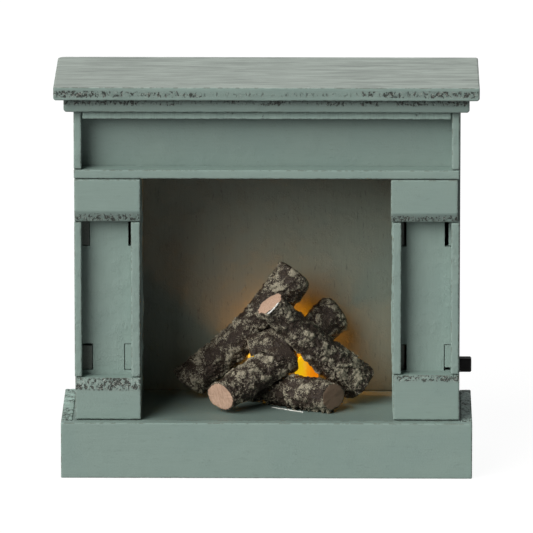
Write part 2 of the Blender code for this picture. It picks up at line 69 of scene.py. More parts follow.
# Paint tones, linear RGB
PAINT = (0.205, 0.278, 0.248)
# The shelf's top tone, lighter and greyer than the paint: dust, and painted light from above.
PAINT_SHELF_LIT_TOP = (0.300, 0.340, 0.308)
# Firebox paint, darker and warmer than the front paint: painted shade, with the lamp's warm light
# painted in.
PAINT_FIREBOX_SHADED = (0.135, 0.161, 0.129)
DARK_TAB = (0.040, 0.046, 0.036)
BARE_EDGE = (0.090, 0.096, 0.078)
SPLINTER = (0.36, 0.38, 0.34)
GRIME = (0.017, 0.019, 0.015)
LAMP_COLOUR = (1.0, 0.31, 0.006)

# How far a board's paint reaches over the glue line beside it, in millimetres
GLUE_LINE = 0.29

# The camera: angles in degrees, distance and aim in metres
CAMERA_LENS = 611.0
CAMERA_AZIMUTH = 0.60
CAMERA_ELEVATION = 12.74
CAMERA_DISTANCE = 3.221
CAMERA_AIM_SHIFT = (-0.00025, 0.00035)
CAMERA_AIM_HEIGHT = 0.0715313


# ---------------------------------------------------------------- camera, light, floor

def add_camera():
    """A long lens in front and slightly above."""
    data = bpy.data.cameras.new("camera")
    data.lens = CAMERA_LENS
    data.sensor_width = 36.0
    data.clip_start = 0.1
    data.clip_end = 30.0
    camera = bpy.data.objects.new("camera", data)
    azimuth = math.radians(CAMERA_AZIMUTH)
    elevation = math.radians(CAMERA_ELEVATION)
    back = Vector((math.sin(azimuth) * math.cos(elevation),
                   -math.cos(azimuth) * math.cos(elevation), math.sin(elevation)))
    low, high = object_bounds()
    aim = Vector(((low.x + high.x) / 2 + CAMERA_AIM_SHIFT[0], CAMERA_AIM_SHIFT[1], CAMERA_AIM_HEIGHT))
    camera.location = aim + back * CAMERA_DISTANCE
    camera.rotation_mode = "QUATERNION"
    camera.rotation_quaternion = (-back).to_track_quat("-Z", "Y")
    bpy.context.scene.collection.objects.link(camera)
    bpy.context.scene.camera = camera


def add_sun(name, strength, angle, azimuth, elevation, colour=(1.0, 1.0, 1.0)):
    """Even soft light from a direction: azimuth from the front towards +X, in degrees."""
    data = bpy.data.lights.new(name, "SUN")
    data.energy = strength
    data.angle = math.radians(angle)
    data.color = colour
    light = bpy.data.objects.new(name, data)
    a = math.radians(azimuth)
    e = math.radians(elevation)
    towards = Vector((math.sin(a) * math.cos(e), -math.cos(a) * math.cos(e), math.sin(e)))
    light.rotation_mode = "QUATERNION"
    light.rotation_quaternion = towards.to_track_quat("Z", "Y")
    bpy.context.scene.collection.objects.link(light)


def add_lamp_light(name, place, power, aim=None):
    """A small light that the lamp throws on the firebox, over the half of space it is aimed at."""
    data = bpy.data.lights.new(name, "SPOT" if aim else "POINT")
    data.energy = power
    data.color = LAMP_COLOUR
    data.shadow_soft_size = 0.0012
    light = bpy.data.objects.new(name, data)
    light.location = place
    if aim:
        data.spot_size = math.pi
        data.spot_blend = 0.015
        light.rotation_mode = "QUATERNION"
        light.rotation_quaternion = Vector(aim).to_track_quat("-Z", "Y")
    bpy.context.scene.collection.objects.link(light)


def add_world():
    """White surroundings: bright to the camera, softer as a light."""
    world = bpy.data.worlds.new("studio")
    world.use_nodes = True
    tree = world.node_tree
    tree.nodes.clear()
    path = tree.nodes.new("ShaderNodeLightPath")
    place = tree.nodes.new("ShaderNodeTexCoord")
    split = tree.nodes.new("ShaderNodeSeparateXYZ")
    tree.links.new(place.outputs["Generated"], split.inputs["Vector"])
    depth = tree.nodes.new("ShaderNodeMapRange")
    depth.interpolation_type = "SMOOTHSTEP"
    depth.inputs["From Min"].default_value = -0.35
    depth.inputs["From Max"].default_value = 0.35
    depth.inputs["To Min"].default_value = 0.085
    depth.inputs["To Max"].default_value = 0.50
    tree.links.new(split.outputs["Y"], depth.inputs["Value"])
    dim = tree.nodes.new("ShaderNodeBackground")
    dim.inputs["Color"].default_value = (0.97, 0.99, 1.0, 1.0)
    tree.links.new(depth.outputs["Result"], dim.inputs["Strength"])
    bright = tree.nodes.new("ShaderNodeBackground")
    bright.inputs["Strength"].default_value = 1.0
    mix = tree.nodes.new("ShaderNodeMixShader")
    out = tree.nodes.new("ShaderNodeOutputWorld")
    tree.links.new(path.outputs["Is Camera Ray"], mix.inputs["Fac"])
    tree.links.new(dim.outputs[0], mix.inputs[1])
    tree.links.new(bright.outputs[0], mix.inputs[2])
    tree.links.new(mix.outputs[0], out.inputs["Surface"])
    bpy.context.scene.world = world


def add_floor():
    """A plain pale floor."""
    bm = bmesh.new()
    bmesh.ops.create_circle(bm, cap_ends=True, segments=64, radius=8.0)
    mesh = bpy.data.meshes.new("studio_floor")
    bm.to_mesh(mesh)
    bm.free()
    floor = bpy.data.objects.new("studio_floor", mesh)
    bpy.context.scene.collection.objects.link(floor)
    material, nodes = start_material("studio_floor")
    nodes.shader(base=(0.08, 0.08, 0.08), rough=0.9, specular=0.1)
    nodes.principled.inputs["Emission Color"].default_value = (1.0, 1.0, 1.0, 1.0)
    nodes.principled.inputs["Emission Strength"].default_value = 0.94
    mesh.materials.append(material)
    floor.visible_diffuse = False


# ---------------------------------------------------------------- material helpers

class Nodes:
    """Short ways to add and link shader nodes."""

    def __init__(self, tree):
        self.tree = tree
        self.principled = tree.nodes["Principled BSDF"]

    def add(self, kind, inputs=None, **settings):
        """Add a node; an input is a value, or a socket to link from."""
        node = self.tree.nodes.new("ShaderNode" + kind)
        for key, value in settings.items():
            setattr(node, key, value)
        for key, value in (inputs or {}).items():
            self.feed(node.inputs[key], value)
        return node

    def feed(self, socket, value):
        """Set a socket's value, or link it."""
        if isinstance(value, bpy.types.NodeSocket):
            self.tree.links.new(value, socket)
        elif isinstance(value, tuple) and len(value) == 3 and len(socket.default_value) == 4:
            socket.default_value = (*value, 1.0)
        else:
            socket.default_value = value

    def millimetres(self, scale=(1.0, 1.0, 1.0)):
        """Object coordinates in millimetres, stretched per axis."""
        place = self.add("TexCoord").outputs["Object"]
        scale = tuple(1000.0 * s for s in scale)
        return self.add("Mapping", {"Vector": place, "Scale": scale}).outputs["Vector"]

    def noise(self, vector, scale, detail=3.0, rough=0.55, distort=0.0):
        """Noise from 0 to 1."""
        return self.add("TexNoise", {"Vector": vector, "Scale": scale, "Detail": detail,
                                     "Roughness": rough, "Distortion": distort}).outputs["Fac"]

    def math(self, operation, a, b=0.0, c=0.0, clamp=False):
        """One sum on one to three numbers."""
        node = self.add("Math", operation=operation, use_clamp=clamp)
        for socket, value in zip(node.inputs, (a, b, c)):
            self.feed(socket, value)
        return node.outputs[0]

    def step(self, value, low, high):
        """0 below low, 1 above high, smooth between; low may be over high."""
        node = self.add("MapRange", interpolation_type="SMOOTHSTEP")
        ends = (low, high, 0.0, 1.0) if low < high else (high, low, 1.0, 0.0)
        self.feed(node.inputs["Value"], value)
        for key, number in zip(("From Min", "From Max", "To Min", "To Max"), ends):
            node.inputs[key].default_value = number
        return node.outputs["Result"]

    def mix(self, factor, a, b):
        """Mix two colours."""
        node = self.add("Mix", data_type="RGBA")
        self.feed(node.inputs["Factor"], factor)
        colour_inputs = [s for s in node.inputs if s.type == "RGBA"]
        self.feed(colour_inputs[0], a)
        self.feed(colour_inputs[1], b)
        return [s for s in node.outputs if s.type == "RGBA"][0]

    def attribute(self, name):
        """A number stored on the mesh."""
        return self.add("Attribute", attribute_name=name).outputs["Fac"]

    def bump(self, height, distance, strength=1.0):
        """A normal from a height, whose full range is distance metres."""
        return self.add("Bump", {"Height": height, "Distance": distance,
                                 "Strength": strength}).outputs["Normal"]

    def shader(self, base=None, rough=None, metallic=None, normal=None, specular=None):
        """Set or link the Principled shader's own sockets."""
        for key, value in (("Base Color", base), ("Roughness", rough), ("Metallic", metallic),
                           ("Normal", normal), ("Specular IOR Level", specular)):
            if value is not None:
                self.feed(self.principled.inputs[key], value)


def start_material(name):
    """A new material and its node helper."""
    material = bpy.data.materials.new(name)
    material.use_nodes = True
    return material, Nodes(material.node_tree)


# ---------------------------------------------------------------- materials

def scaled(colour, factor):
    """A colour made lighter or darker."""
    return tuple(min(1.0, channel * factor) for channel in colour)


def paint_material(name, grain, tone=PAINT, pits=1.0, streaks=0.15, dusty_lit_top_tone=None, tab_line=None,
                   bumps=0.6):
    """Satin paint over thin wood: grain along one axis, pits, grimy rough patches and bare edges.

    The mesh numbers wear and rough say how near an edge a point is and how coarse its wood is.
    A top tone, if given, is the colour of what faces up: dustier, and lighter as painted light from
    above.  In front of the tab line, in millimetres along Y, the wood is dark and coarse.  bumps is how
    uneven the paint dried.
    """
    material, n = start_material(name)
    plain = n.millimetres()
    along = {"X": (0.07, 1.0, 1.0), "Y": (1.0, 0.07, 1.0), "Z": (1.0, 1.0, 0.07)}[grain]
    stretched = n.millimetres(along)
    fibre = n.noise(stretched, 1.9, 5.0, 0.62)
    band = n.noise(stretched, 0.33, 3.0, 0.5)
    cloud = n.noise(plain, 0.055, 3.0, 0.5)
    speckle = n.noise(plain, 2.3, 3.0, 0.6)
    fine = n.noise(plain, 6.0, 3.0, 0.6)
    wear = n.attribute("wear")
    rough = n.attribute("rough")

    light = scaled(tone, 1.0 + 0.16 * streaks)
    dark = scaled(tone, 1.0 - 0.15 * streaks)
    colour = n.mix(n.step(fibre, 0.30, 0.72), dark, light)
    colour = n.mix(n.math("MULTIPLY", n.step(band, 0.42, 0.66), streaks), colour, scaled(tone, 1.12))
    colour = n.mix(n.math("MULTIPLY", n.step(cloud, 0.40, 0.68), 0.30), colour,
                   (tone[0] * 0.88, tone[1] * 0.93, tone[2] * 0.96))
    # Faces that point up take the top tone: dust, and painted light from above.
    if dusty_lit_top_tone:
        upward = n.add("SeparateXYZ", {"Vector": n.add("NewGeometry").outputs["Normal"]}).outputs["Z"]
        broad = n.noise(n.millimetres((0.050, 0.36, 1.0)), 0.9, 6.0, 0.70, 0.5)
        upward_dust_and_light = n.mix(n.step(broad, 0.33, 0.66), scaled(dusty_lit_top_tone, 0.72), scaled(dusty_lit_top_tone, 1.30))
        upward_dust_and_light = n.mix(n.math("MULTIPLY", n.step(fibre, 0.35, 0.65), 0.30), upward_dust_and_light, scaled(dusty_lit_top_tone, 1.15))
        colour = n.mix(n.step(upward, 0.45, 0.85), colour, upward_dust_and_light)
    pit_zone = n.step(n.noise(plain, 0.16, 2.0, 0.5), 0.40, 0.70)
    dash = {"X": (0.22, 1.0, 1.0), "Y": (1.0, 0.22, 1.0), "Z": (1.0, 1.0, 0.22)}[grain]
    scuff = n.step(n.noise(n.millimetres(dash), 1.15, 5.0, 0.66, 0.3), 0.60, 0.68)
    colour = n.mix(n.math("MULTIPLY", scuff, 0.16 * pits, clamp=True), colour, scaled(tone, 0.45))
    if tab_line is not None:
        depth = n.add("SeparateXYZ", {"Vector": plain}).outputs["Y"]
        tab = n.math("MULTIPLY", n.step(depth, tab_line, tab_line - 0.3),
                     n.math("MULTIPLY_ADD", speckle, 0.5, 0.62), clamp=True)
        colour = n.mix(tab, colour, DARK_TAB)
    pit = n.math("MULTIPLY", n.step(speckle, 0.655, 0.74),
                 n.math("MULTIPLY", pit_zone, pits), clamp=True)
    colour = n.mix(n.math("MULTIPLY", pit, 0.55), colour, scaled(tone, 0.42))

    worm = n.noise(n.millimetres((1.0, 1.0, 0.62)), 1.05, 4.0, 0.66, 0.4)
    stain = n.math("MULTIPLY", rough, n.math("MULTIPLY_ADD", cloud, 0.5, 0.25), clamp=True)
    colour = n.mix(stain, colour, scaled(tone, 0.50))
    coarse = n.math("MULTIPLY", n.step(rough, 0.15, 0.45),
                    n.step(n.math("MULTIPLY_ADD", rough, 0.12, worm), 0.580, 0.635))
    colour = n.mix(n.math("MULTIPLY", coarse, 0.92, clamp=True), colour, GRIME)
    flake = n.math("MULTIPLY", rough, n.step(n.noise(plain, 2.1, 3.0, 0.65), 0.55, 0.62))
    colour = n.mix(n.math("MULTIPLY", flake, 0.75), colour, SPLINTER)

    chipped = n.math("MULTIPLY", n.step(wear, 0.42, 0.78),
                     n.step(n.noise(plain, 0.38, 5.0, 0.68), 0.47, 0.57))
    colour = n.mix(n.math("MULTIPLY", chipped, 0.55), colour, BARE_EDGE)

    gloss = n.math("MULTIPLY_ADD", n.math("ADD", fine, band), 0.14, 0.40)
    gloss = n.math("ADD", gloss, n.math("MULTIPLY", n.math("ADD", coarse, chipped), 0.25), clamp=True)
    height = n.math("MULTIPLY_ADD", fibre, 0.35, n.math("MULTIPLY", fine, 0.22))
    grit = n.noise(plain, 1.5, 3.0, 0.65)
    grit = n.math("MULTIPLY", grit, n.math("MULTIPLY_ADD", pit_zone, bumps, 0.5))
    height = n.math("ADD", height, grit)
    height = n.math("SUBTRACT", height, n.math("MULTIPLY", pit, 0.60))
    height = n.math("SUBTRACT", height, n.math("MULTIPLY", coarse, 1.30))
    n.shader(colour, gloss, 0.0, n.bump(height, 0.00013, 0.80), 0.42)
    return material


def bark_material():
    """Cast logs: pale dry-brushed bark over dark hollows, pinkish sawn ends."""
    material, n = start_material("painted_bark")
    plain = n.millimetres()
    relief = n.attribute("relief")
    cut = n.attribute("cut")
    patch = n.noise(plain, 0.95, 7.0, 0.80, 0.4)
    speck = n.noise(plain, 2.6, 4.0, 0.75)
    zone = n.noise(plain, 0.17, 3.0, 0.5)
    tiny = n.noise(plain, 6.0, 3.0, 0.6)

    dark = n.mix(n.step(speck, 0.35, 0.65), (0.0085, 0.0055, 0.0045), (0.050, 0.034, 0.023))
    pale = n.mix(n.step(tiny, 0.35, 0.65), (0.210, 0.185, 0.128), (0.43, 0.395, 0.300))
    height = n.math("MULTIPLY_ADD", relief, 0.34, n.math("MULTIPLY", patch, 0.72))
    height = n.math("ADD", height, n.math("MULTIPLY", n.math("SUBTRACT", zone, 0.5), 0.55))
    height = n.math("ADD", height, n.math("MULTIPLY", n.math("SUBTRACT", speck, 0.5), 0.90))
    mask = n.step(height, 0.560, 0.605)
    bark = n.mix(n.math("MULTIPLY", mask, 0.90), dark, pale)

    grain = n.noise(n.millimetres((1.0, 1.0, 0.25)), 1.6, 4.0, 0.6)
    wood = n.mix(n.step(grain, 0.30, 0.70), (0.40, 0.255, 0.178), (0.54, 0.370, 0.275))
    wood = n.mix(n.math("MULTIPLY", n.step(tiny, 0.60, 0.72), 0.35), wood, (0.66, 0.52, 0.42))
    # Ends numbered 0.8 take a dark brown: painted shade for a sawn face turned from the light.
    wood = n.mix(n.step(cut, 0.97, 0.85), wood, (0.20, 0.135, 0.092))
    colour = n.mix(n.step(cut, 0.35, 0.45), bark, wood)
    rough = n.math("MULTIPLY_ADD", mask, 0.22, 0.50)
    bump = n.math("MULTIPLY_ADD", speck, 0.8, n.math("MULTIPLY", tiny, 0.35))
    n.shader(colour, rough, 0.0, n.bump(bump, 0.00030, 0.9), 0.22)
    return material


def plastic_material(name, tone, rough, specular=0.5):
    """Moulded plastic with a fine spark-eroded texture and faint handling marks."""
    material, n = start_material(name)
    plain = n.millimetres()
    fine = n.noise(plain, 9.0, 3.0, 0.6)
    smear = n.noise(plain, 0.25, 3.0, 0.5, 0.4)
    colour = n.mix(n.step(smear, 0.35, 0.7), tone, scaled(tone, 1.55))
    n.shader(colour, n.math("MULTIPLY_ADD", smear, 0.16, rough - 0.08), 0.0,
             n.bump(fine, 0.00003, 0.6), specular)
    return material


def metal_material(name, tone, rough=0.28):
    """Plated steel with drawn lines and small dull spots."""
    material, n = start_material(name)
    lines = n.noise(n.millimetres((1.0, 1.0, 0.12)), 5.0, 4.0, 0.6)
    spots = n.noise(n.millimetres(), 1.2, 4.0, 0.6)
    colour = n.mix(n.step(spots, 0.50, 0.72), tone, scaled(tone, 0.72))
    n.shader(colour, n.math("MULTIPLY_ADD", lines, 0.22, rough - 0.08), 1.0,
             n.bump(lines, 0.00002, 0.5))
    return material


def glue_material():
    """Clear glue that dried glossy; its whitish colour is partly real haze and partly a painted
    highlight.
    """
    material, n = start_material("dried_glue_painted_shine")
    plain = n.millimetres()
    haze_and_shine = n.noise(plain, 1.1, 4.0, 0.6, 0.3)
    # The whitish colour stands partly for the glue's shine: painted highlight.
    colour = n.mix(n.step(haze_and_shine, 0.38, 0.62), (0.42, 0.42, 0.38), (0.78, 0.78, 0.74))
    n.shader(colour, n.math("MULTIPLY_ADD", haze_and_shine, 0.18, 0.05), 0.0, n.bump(haze_and_shine, 0.00006, 0.6), 0.6)
    return material


def glow_material():
    """Amber plastic lit from inside, palest where the lamp is nearest."""
    material, n = start_material("lit_amber")
    low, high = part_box("glow_cap")
    plain = n.millimetres()
    place = n.add("SeparateXYZ", {"Vector": plain})
    centre = ((low.x + high.x) / 2 + 0.0006) * 1000
    side = n.math("SUBTRACT", place.outputs["X"], centre)
    swirl = n.noise(plain, 0.45, 3.0, 0.55, 0.8)
    amount = n.math("MULTIPLY_ADD", swirl, 2.6, side)
    tint = n.mix(n.step(amount, -1.8, 3.0), (0.90, 0.54, 0.008), (0.92, 0.26, 0.001))
    fine = n.noise(plain, 3.0, 3.0, 0.6)
    strength = n.math("MULTIPLY_ADD", n.step(amount, 4.0, -1.5), 0.12, 0.72)
    n.shader((0.30, 0.10, 0.006), n.math("MULTIPLY_ADD", fine, 0.2, 0.22), 0.0,
             n.bump(swirl, 0.0003, 0.6), 0.5)
    n.feed(n.principled.inputs["Emission Color"], tint)
    n.feed(n.principled.inputs["Emission Strength"], strength)
    return material


def lens_material():
    """The lamp's own lens, hidden under the cap."""
    material, n = start_material("lit_lens")
    plain = n.millimetres()
    swirl = n.noise(plain, 0.8, 3.0, 0.5)
    tint = n.mix(n.step(swirl, 0.3, 0.7), (1.0, 0.60, 0.15), (1.0, 0.75, 0.32))
    n.shader((0.95, 0.80, 0.45), 0.12, 0.0, n.bump(swirl, 0.00002, 0.5), 0.5)
    n.feed(n.principled.inputs["Emission Color"], tint)
    n.principled.inputs["Emission Strength"].default_value = 2.0
    return material


def board_material(name, tone):
    """Brown pressed laminate of the switch's contact board."""
    material, n = start_material(name)
    layer = n.noise(n.millimetres((3.0, 0.3, 0.3)), 2.0, 4.0, 0.6)
    colour = n.mix(n.step(layer, 0.35, 0.65), scaled(tone, 0.75), scaled(tone, 1.25))
    n.shader(colour, n.math("MULTIPLY_ADD", layer, 0.15, 0.45), 0.0, n.bump(layer, 0.00002, 0.5))
    return material


def bare_wood_material():
    """Unpainted plywood under the base: straight grain, pores and darker late wood."""
    material, n = start_material("bare_plywood")
    stretched = n.millimetres((0.05, 1.0, 1.0))
    fibre = n.noise(stretched, 1.4, 6.0, 0.62, 0.3)
    pores = n.noise(n.millimetres((0.22, 1.8, 1.8)), 2.2, 3.0, 0.5)
    colour = n.mix(n.step(fibre, 0.30, 0.70), (0.33, 0.215, 0.120), (0.55, 0.405, 0.255))
    colour = n.mix(n.math("MULTIPLY", n.step(pores, 0.62, 0.72), 0.6), colour, (0.16, 0.095, 0.050))
    height = n.math("SUBTRACT", fibre, n.math("MULTIPLY", pores, 0.5))
    n.shader(colour, n.math("MULTIPLY_ADD", fibre, 0.15, 0.60), 0.0, n.bump(height, 0.00008, 0.7), 0.3)
    return material


# ---------------------------------------------------------------- mesh helpers

def lattice(ix, iy, iz, seed):
    """A repeatable number from 0 to 1 for every whole-number lattice point."""
    n = (ix * 374761393 + iy * 668265263 + iz * 1442695041 + seed * 974634777) & 0x7FFFFFFF
    n = ((n ^ (n >> 13)) * 1274126177) & 0x7FFFFFFF
    n = ((n ^ (n >> 15)) * 1103515245) & 0x7FFFFFFF
    return (n ^ (n >> 16)) / float(0x7FFFFFFF)


def value_noise(points, size, seed):
    """Smooth noise from 0 to 1 whose features are about size across."""
    scaled_points = points / size
    cell = np.floor(scaled_points).astype(np.int64)
    t = scaled_points - cell
    t = t * t * (3.0 - 2.0 * t)
    total = np.zeros(len(points))
    for dx in (0, 1):
        wx = t[:, 0] if dx else 1.0 - t[:, 0]
        for dy in (0, 1):
            wy = t[:, 1] if dy else 1.0 - t[:, 1]
            for dz in (0, 1):
                wz = t[:, 2] if dz else 1.0 - t[:, 2]
                total += wx * wy * wz * lattice(cell[:, 0] + dx, cell[:, 1] + dy, cell[:, 2] + dz, seed)
    return total


def fractal(points, size, octaves, seed):
    """Several layers of noise, each half the size of the one before, from 0 to 1."""
    total = np.zeros(len(points))
    weight = 0.0
    for octave in range(octaves):
        share = 0.55 ** octave
        total += share * value_noise(points, size * 0.5 ** octave, seed + 17 * octave)
        weight += share
    return total / weight


def make_piece(name, verts, faces, material, numbers=None):
    """A smooth mesh object from arrays, with numbers stored on its points."""
    mesh = bpy.data.meshes.new(name)
    mesh.from_pydata([tuple(v) for v in verts], [], [tuple(f) for f in faces])
    mesh.update()
    bm = bmesh.new()
    bm.from_mesh(mesh)
    bmesh.ops.recalc_face_normals(bm, faces=bm.faces)
    bm.to_mesh(mesh)
    bm.free()
    for key, values in (numbers or {}).items():
        layer = mesh.attributes.new(key, "FLOAT", "POINT")
        layer.data.foreach_set("value", np.asarray(values, dtype=np.float32))
    mesh.shade_smooth()
    mesh.materials.append(material)
    piece = bpy.data.objects.new(name, mesh)
    bpy.context.scene.collection.objects.link(piece)
    return piece


def tube_faces(rows, around):
    """Quads between rows of points, and fans that close both ends on the first and last point."""
    ring = np.arange(around)
    nearby = (ring + 1) % around
    faces = []
    for i in range(rows - 1):
        a = 1 + i * around
        b = a + around
        faces += np.stack([a + ring, a + nearby, b + nearby, b + ring], axis=1).tolist()
    last = 1 + rows * around
    pairs = list(zip(ring.tolist(), nearby.tolist()))
    faces += [(0, 1 + k, 1 + j) for j, k in pairs]
    faces += [(last, last - around + j, last - around + k) for j, k in pairs]
    return faces


def places(low, high, radius, step, extra=()):
    """Grid places along one side: close together at the rounded ends, even between."""
    ends = [0.0, 0.3 * radius, radius, 2.2 * radius]
    result = [low + e for e in ends] + [high - e for e in ends] + [e for e in extra if low < e < high]
    first = low + 2.2 * radius
    last = high - 2.2 * radius
    count = max(1, round((last - first) / step))
    result += [first + (last - first) * i / count for i in range(1, count)]
    result = sorted(result)
    kept = [result[0]]
    for place in result[1:]:
        if place - kept[-1] > 0.06 * MM:
            kept.append(place)
    kept[-1] = high
    return np.array(kept)


def box_grid(axes):
    """Points and quads of a box's surface on a grid, shared between its sides."""
    shape = tuple(len(a) for a in axes)
    inside = np.zeros(shape, dtype=bool)
    inside[1:-1, 1:-1, 1:-1] = True
    ids = np.full(shape, -1)
    ids[~inside] = np.arange(int((~inside).sum()))
    index = np.argwhere(~inside)
    points = np.stack([axes[k][index[:, k]] for k in range(3)], axis=1)
    faces = []
    for axis in range(3):
        for end in (0, -1):
            side = np.take(ids, end, axis=axis)
            quads = np.stack([side[:-1, :-1], side[1:, :-1], side[1:, 1:], side[:-1, 1:]], axis=-1)
            faces.append(quads.reshape(-1, 4))
    return points, np.concatenate(faces)


def round_corner(points, axes, corner, inward, radius):
    """Round one corner of a box's outline, seen along the third axis."""
    a, b = axes
    u = (corner[0] + inward[0] * radius - points[:, a]) * inward[0]
    v = (corner[1] + inward[1] * radius - points[:, b]) * inward[1]
    near = (u > 0) & (v > 0)
    length = np.hypot(u, v)
    shrink = np.where(near, np.maximum(u, v) / np.maximum(length, 1e-9), 1.0)
    points[near, a] = corner[0] + inward[0] * (radius - u[near] * shrink[near])
    points[near, b] = corner[1] + inward[1] * (radius - v[near] * shrink[near])


def worn_board(name, low, high, material, radius=0.35 * MM, steps=(0.7, 1.5, 1.5), nick=0.16 * MM,
               seed=1, extra=((), (), ()), reshape=None, roughness=None, corners=()):
    """A rounded board with nicked edges, from its lowest and highest corners.

    reshape moves the points afterwards, roughness gives the coarse-wood number at each point,
    and corners are rounded outline corners as (axes, corner, inward, radius).
    """
    low = np.array(low, dtype=float)
    high = np.array(high, dtype=float)
    axes = [places(low[k], high[k], radius, steps[k] * MM, extra[k]) for k in range(3)]
    points, faces = box_grid(axes)
    to_side = np.minimum(points - low, high - points)
    edge = np.sort(to_side, axis=1)[:, 1]
    inner = np.clip(points, low + radius, high - radius)
    out = points - inner
    length = np.linalg.norm(out, axis=1, keepdims=True)
    normal = out / np.maximum(length, 1e-9)
    points = np.where(length > 0, inner + normal * np.minimum(radius, length), points)
    coarse = np.zeros(len(points)) if roughness is None else roughness(points, normal)
    for corner in corners:
        round_corner(points, *corner)
    near = np.clip(1.0 - edge / (1.1 * MM), 0.0, 1.0)
    chips = np.clip(fractal(points, 1.7 * MM, 3, seed) - 0.52, 0.0, 1.0) * 2.6
    sway = value_noise(points, 7.0 * MM, seed + 5)
    depth = near ** 2 * (chips * nick + 0.05 * MM * sway)
    depth += coarse * np.clip(fractal(points, 1.0 * MM, 3, seed + 9) - 0.45, 0.0, 1.0) * 0.45 * MM
    points = points - normal * depth[:, None]
    if reshape is not None:
        points = reshape(points)
    wear = np.clip(1.0 - edge / (0.9 * MM), 0.0, 1.0)
    piece = make_piece(name, points, faces, material, {"wear": wear, "rough": coarse})
    weighted = piece.modifiers.new("Even shading", "WEIGHTED_NORMAL")
    weighted.keep_sharp = True
    return piece


def attach(piece, body, slot_name, *nodes):
    """Ride on a body and stand for CAD nodes; slot_name is not used."""
    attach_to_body(piece, body)
    if nodes:
        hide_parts(*nodes)
    return piece


def node_board(node, material, slot_name="painted_wood", spread=(0.0, 0.0, 0.0), **options):
    """A worn board in place of a CAD board; spread, in millimetres, closes the glue lines round it."""
    low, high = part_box(node)
    spread = Vector(spread) * MM
    piece = worn_board(node + "_worn", low - spread, high + spread, material, **options)
    return attach(piece, ROOT, slot_name, node)


# ---------------------------------------------------------------- painted boards

def build_shelf(material, cornice_material):
    """The mantel shelf and the cornice board under it."""
    low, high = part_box("shelf_board")
    thick = high.z - low.z
    wide = high.x - low.x

    def shelf_rough(points, normal):
        """Coarse middle ply along the front edge, strongest near the two ends."""
        across = (points[:, 0] - low.x) / wide
        height = (points[:, 2] - low.z) / thick
        band = np.clip(1.0 - np.abs(height - 0.47) / 0.30, 0.0, 1.0) ** 0.5
        ends = np.clip(1.15 - across / 0.30, 0.0, 1.0) + np.clip((across - 0.80) / 0.10, 0.0, 0.85)
        patchy = 0.48 + 0.50 * (fractal(points, 9.0 * MM, 2, 41) > 0.55)
        front = np.clip(-normal[:, 1], 0.0, 1.0)
        sides = np.clip(np.abs(normal[:, 0]) - 0.5, 0.0, 0.5)
        return band * (front * np.clip(np.maximum(ends, patchy * 0.75), 0.0, 1.0) + sides)

    fine_z = tuple(low.z + thick * i / 12 for i in range(1, 12))
    back_lines = tuple(high.y - 0.45 * MM * i for i in range(1, 8))
    shelf = worn_board("shelf_board_worn", low, high, material, radius=0.40 * MM, steps=(0.6, 1.8, 0.5),
                       seed=11, extra=((), back_lines, fine_z), roughness=shelf_rough,
                       corners=(((0, 1), (low.x, high.y), (1, -1), 2.8 * MM),
                                ((0, 1), (high.x, high.y), (-1, -1), 1.3 * MM),
                                ((0, 2), (low.x, low.z), (1, 1), 0.9 * MM),
                                ((0, 2), (high.x, low.z), (-1, 1), 1.1 * MM)))
    attach(shelf, ROOT, "painted_wood", "shelf_board")

    low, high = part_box("cornice_board")
    thick = high.z - low.z

    def cornice_rough_and_shade(points, normal):
        """Patches of coarse wood in the upper half of the front; their darkening there is partly painted
        shade under the shelf.
        """
        across = (points[:, 0] - low.x) / (high.x - low.x)
        upper = np.clip(((points[:, 2] - low.z) / thick - 0.42) / 0.25, 0.0, 1.0)
        ends = np.clip(1.1 - across / 0.28, 0.0, 1.0) + np.clip((across - 0.86) / 0.08, 0.0, 1.0)
        patchy = 0.32 + (fractal(points, 6.0 * MM, 2, 77) > 0.55) * 0.5
        front = np.clip(-normal[:, 1], 0.0, 1.0)
        return upper * front * np.clip(np.maximum(ends * 0.8, patchy), 0.0, 1.0)

    fine_z = tuple(low.z + thick * i / 10 for i in range(1, 10))
    cornice = worn_board("cornice_board_worn", low, high, cornice_material, radius=0.45 * MM,
                         steps=(0.6, 2.0, 0.5), seed=23, extra=((), (), fine_z),
                         roughness=cornice_rough_and_shade,
                         corners=(((0, 2), (low.x, low.z), (1, 1), 1.1 * MM),
                                  ((0, 2), (high.x, low.z), (-1, 1), 1.0 * MM)))
    attach(cornice, ROOT, "painted_wood", "cornice_board")


def build_frieze(flat, upright, coarse_rail, panel):
    """The frieze panel and its frame."""
    node_board("frieze_panel", panel, steps=(1.2, 1.5, 1.2), seed=31)
    node_board("frieze_bottom_rail", flat, steps=(0.6, 1.2, 0.8), seed=32)

    def rail_rough(points, normal):
        """Scattered coarse marks along the top rail."""
        return np.clip(-normal[:, 1], 0.0, 1.0) * (fractal(points, 3.0 * MM, 2, 55) > 0.70) * 0.35

    # The top rail's lighter paint is painted light under the cornice.
    node_board("frieze_top_rail", coarse_rail, steps=(0.6, 1.2, 0.6), seed=33, roughness=rail_rough)
    node_board("frieze_left_stile", upright, steps=(0.8, 1.2, 0.6), seed=34)
    node_board("frieze_right_stile", upright, steps=(0.8, 1.2, 0.6), seed=35)


